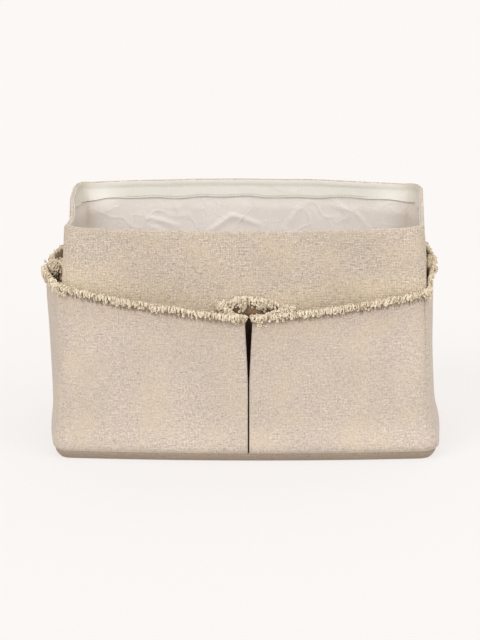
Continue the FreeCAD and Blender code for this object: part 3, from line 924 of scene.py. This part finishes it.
def frayed_edge(band):
    """Warp ends left where the weft is pulled out, in tufts over the face, and their roots, dark brown as
    painted shadow under the fringe.
    """
    rng = random.Random(40 + band.side.number)
    name = band.side.name
    runs, roots = [], []
    for layer, (pitch, reach, drop) in enumerate(LAYERS):
        edge = edge_walk(band, pitch)
        for number, (base, way, face, folded) in enumerate(edge):
            place = number * pitch
            tuft = round(place / TUFT + 0.5 * noise.noise(Vector((place * 90.0, layer, 0.0))))
            full = noise.noise(Vector((tuft * 1.7, layer * 5.0, band.side.number)))
            lean = 0.65 * (tuft * TUFT - place) + rng.gauss(0, 0.0008)
            lean -= 0.0026 * smooth((number / len(edge) - 0.84) / 0.08)
            out = BUSHY[name] * reach * rng.uniform(0.7, 1.25) * (1 + 0.5 * full)
            fall = BUSHY[name] * drop * rng.uniform(0.6, 1.1) * (1 + 0.45 * full)
            if folded or not band.side.is_long:
                fall *= 1.2 + 1.5 * noise.noise(Vector((place * 110.0, 3.0, band.side.number)))
            runs.append(hanging_end(rng, base, way, face, lean, out, fall))
    for base, way, face, folded in edge_walk(band, KNOT_PITCH):
        start = base + way * rng.uniform(-0.0008, 0.0008)
        runs.append(knot(rng, start, way, face, rng.uniform(0.0, 0.0025)))
        if folded and rng.random() < 0.5:
            for hang in (0.0025, 0.0055):
                runs.append(knot(rng, start, way, face, hang))
    edge = edge_walk(band, CORNER_PITCH)
    for spot in (edge[0], edge[1], edge[-2], edge[-1]):
        runs += clump(rng, spot, 12, 0.0020, 0.0026, -0.0015, 0.0050)
    for base, way, face, _ in edge_walk(band, STANDING_PITCH):
        lift = rng.uniform(0.0012, 0.0034)
        side_way = rng.uniform(-0.002, 0.002)
        runs.append([
            (base - UP * 0.001, 0.8),
            (base + UP * lift * 0.5 + way * side_way * 0.3, 1.0),
            (base + UP * lift + way * side_way + face * 0.0008, 0.9),
            (base + UP * lift * 0.8 + way * side_way * 1.8 + face * 0.0018, 0.7),
        ])
    # Roots hanging below the fringe: painted shadow.
    for base, way, face, _ in edge_walk(band, ROOT_PITCH):
        lean, fall = rng.uniform(-0.0015, 0.0015), rng.uniform(0.0070, 0.0102)
        roots.append([
            (base - UP * 0.0004 + face * 0.0008, 1.0),
            (base - UP * fall * 0.5 + face * 0.0011 + way * lean * 0.4, 1.0),
            (base - UP * fall + face * 0.0010 + way * lean, 0.6),
        ])
    spots = [spot for spot in edge_walk(band, TANGLE_PITCH) if spot[3]]
    runs += tangle(rng, [base for base, _, _, _ in spots])
    for share, count, hang in CLUMPS:
        spot = spots[round(share * (len(spots) - 1))]
        runs += clump(rng, spot, count, 0.0022, 0.0030, -0.0010, hang)
    ends = yarns(f"{name}_pocket_yarn_ends", runs, END_RADIUS, "fray", [f"{name}_pocket_fray"], sides=1)
    roots = yarns(f"{name}_pocket_yarn_roots", roots, ROOT_RADIUS, "fray", [], sides=0, finish="fray_roots")
    return ends, roots


def bar_tack(side):
    """Satin block through a pleat's underlay and the wall: upright stitches side by side."""
    band = Band(side)
    low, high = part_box(f"{side.name}_pleat_tack")
    width, radius = 0.012, 0.0003
    count = 18
    off = band.lie + CANVAS / 2 + 0.0002
    runs = []
    for number in range(count):
        along = band.middle + width * (number / (count - 1) - 0.5)
        run = []
        for share, lift in ((0.0, -0.0008), (0.1, 0.0), (0.5, 0.0002), (0.9, 0.0), (1.0, -0.0008)):
            spot = between(low.z, high.z, share)
            run.append((side.at(along, spot, off + lift + swell(side, along, spot)), 1.0))
        runs.append(run)
    yarns(f"{side.name}_pleat_tack_stitches", runs, radius, "thread", [f"{side.name}_pleat_tack"], sides=0)


# The base.


def rings(name, loops, slot, node, thickness, finish=None):
    """Shell through closed loops of points: the first is capped, the rest are drawn out from it in turn."""
    bm = bmesh.new()
    ring = bmesh.ops.create_circle(bm, cap_ends=True, segments=len(loops[0]), radius=1.0)["verts"]
    for vert, point in zip(ring, loops[0]):
        vert.co = point
    for loop in loops[1:]:
        edge = [e for e in bm.edges if e.is_boundary]
        drawn = bmesh.ops.extrude_edge_only(bm, edges=edge)["geom"]
        verts = {vert for vert in drawn if isinstance(vert, bmesh.types.BMVert)}
        ordered = []
        for vert in ring:
            ordered.append(next(e.other_vert(vert) for e in vert.link_edges if e.other_vert(vert) in verts))
        for vert, point in zip(ordered, loop):
            vert.co = point
        ring = ordered
    weave = bm.loops.layers.uv.new("weave")
    for face in bm.faces:
        for loop in face.loops:
            loop[weave].uv = loop.vert.co.xy + Vector((loop.vert.co.z, -loop.vert.co.z)) + Vector((7, 7))
    bmesh.ops.recalc_face_normals(bm, faces=bm.faces)
    return finished(bm, name, slot, [node], thickness, finish)


def round_the_bin(sides, level, off_of, shrink=1.0):
    """A closed loop of points round the foot of the bin, at a level and off the walls."""
    loop = []
    steps = 84
    for name in ("front", "right", "back", "left"):
        side = sides[name]
        for step in range(steps):
            along = side.along(2 * step / steps - 1, level)
            place = side.at(along, level, off_of(side, along))
            loop.append(Vector((place.x * shrink, place.y * shrink, level)))
    return loop


def base_panel(sides):
    """Canvas base: flat below, rounded up at its edge and drawn in at the seam with the bands."""

    def flush(side, along):
        band = Band(side)
        return band.lie + CANVAS / 2 + band.stand(0.0, along, BASE_SEAM) - 0.0006

    loops = []
    for share in (0.3, 0.6, 0.85, 0.96):
        loops.append(round_the_bin(sides, CANVAS / 2, lambda side, along: -0.004, share))
    for level in (0.0006, 0.0008, 0.0014, 0.0022, 0.0032, 0.0044, 0.0056, 0.0068):
        inset = 0.0020 * (1 - level / 0.0068) ** 2
        loops.append(round_the_bin(
            sides, level, lambda side, along, inset=inset: flush(side, along) - CANVAS / 2 - inset))
    for below, draw in ((0.0012, 0.0001), (0.0006, 0.0006), (0.0003, 0.0014)):
        loops.append(round_the_bin(
            sides, BASE_SEAM - below, lambda side, along, draw=draw: flush(side, along) - CANVAS / 2 - draw))
    # Its darker finish is painted shade.
    piece = rings("base_panel_canvas", loops, "canvas", "base_panel", CANVAS, finish="base_canvas")


def base_lining(sides):
    """White cotton over the stiffening board, slack enough to pillow between its edges."""
    loops = []
    steps = (0.02, 0.1, 0.2, 0.3, 0.4, 0.5, 0.6, 0.7, 0.78, 0.85, 0.91, 0.95, 0.98, 1.0)
    level = LINING_FLOOR + LINING / 2
    for share in steps:
        loop = round_the_bin(sides, level, lambda side, along: -CANVAS - PLY_GAP - LINING, share)
        for point in loop:
            puff = 0.5 + 0.5 * noise.noise(Vector((point.x * 22.0, point.y * 22.0, 1.5)))
            point.z += 0.0022 * puff * puff * smooth((1 - share) / 0.2)
        loops.append(loop)
    piece = rings("base_lining_cotton", loops, "lining", "base_lining", LINING)


# Studio.

# The camera: its lens, the point it faces, its rise above level, and its distance.
LENS = 228
AIM = Vector((-0.0046, 0.0, 0.1152))
RISE = math.radians(13.6)
DISTANCE = 4.2


def studio():
    """Pale floor, soft light from above, in front and behind, and the camera."""
    bm = bmesh.new()
    bmesh.ops.create_circle(bm, cap_ends=True, segments=96, radius=40.0)
    mesh = bpy.data.meshes.new("floor")
    bm.to_mesh(mesh)
    bm.free()
    floor = placed("floor", mesh)
    paper = bpy.data.materials.new("floor_paper")
    paper.use_nodes = True
    shader = paper.node_tree.nodes["Principled BSDF"]
    shader.inputs["Base Color"].default_value = (0.170, 0.163, 0.159, 1)
    shader.inputs["Emission Color"].default_value = (1.0, 0.967, 0.949, 1)
    shader.inputs["Emission Strength"].default_value = 0.725
    shader.inputs["Roughness"].default_value = 1.0
    shader.inputs["Specular IOR Level"].default_value = 0.0
    mesh.materials.append(paper)

    world = bpy.data.worlds.new("studio")
    bpy.context.scene.world = world
    world.use_nodes = True
    sky = world.node_tree.nodes["Background"]
    sky.inputs["Color"].default_value = (1.0, 0.985, 0.965, 1)
    sky.inputs["Strength"].default_value = 0.70

    for name, turn, tilt, strength, softness in (
        ("key", -38, 50, 1.55, 35),
        ("fill", 42, 55, 1.35, 70),
        ("behind", 170, 55, 1.1, 70),
    ):
        light = bpy.data.lights.new(name, "SUN")
        light.energy = strength
        light.angle = math.radians(softness)
        lamp = placed(name, light)
        lamp.rotation_euler = (math.radians(tilt), 0, math.radians(turn))

    camera_data = bpy.data.cameras.new("camera")
    camera_data.lens = LENS
    camera_data.clip_end = 100
    camera = placed("camera", camera_data)
    back = Vector((0, -math.cos(RISE), math.sin(RISE)))
    camera.location = AIM + back * DISTANCE
    camera.rotation_mode = "QUATERNION"
    camera.rotation_quaternion = (-back).to_track_quat("-Z", "Y")
    bpy.context.scene.camera = camera
    bpy.context.scene.view_settings.view_transform = "Standard"


studio()
sides = {name: Side(name) for name in SIDES}
for side in sides.values():
    wall(side)
    lining(side)
    facing(side)
    pocket(side)
    bar_tack(side)
facing_stitches(sides.values())
base_panel(sides)
base_lining(sides)

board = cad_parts["base_board"]
board.data.materials.clear()
board.data.materials.append(FINISHES["board"])
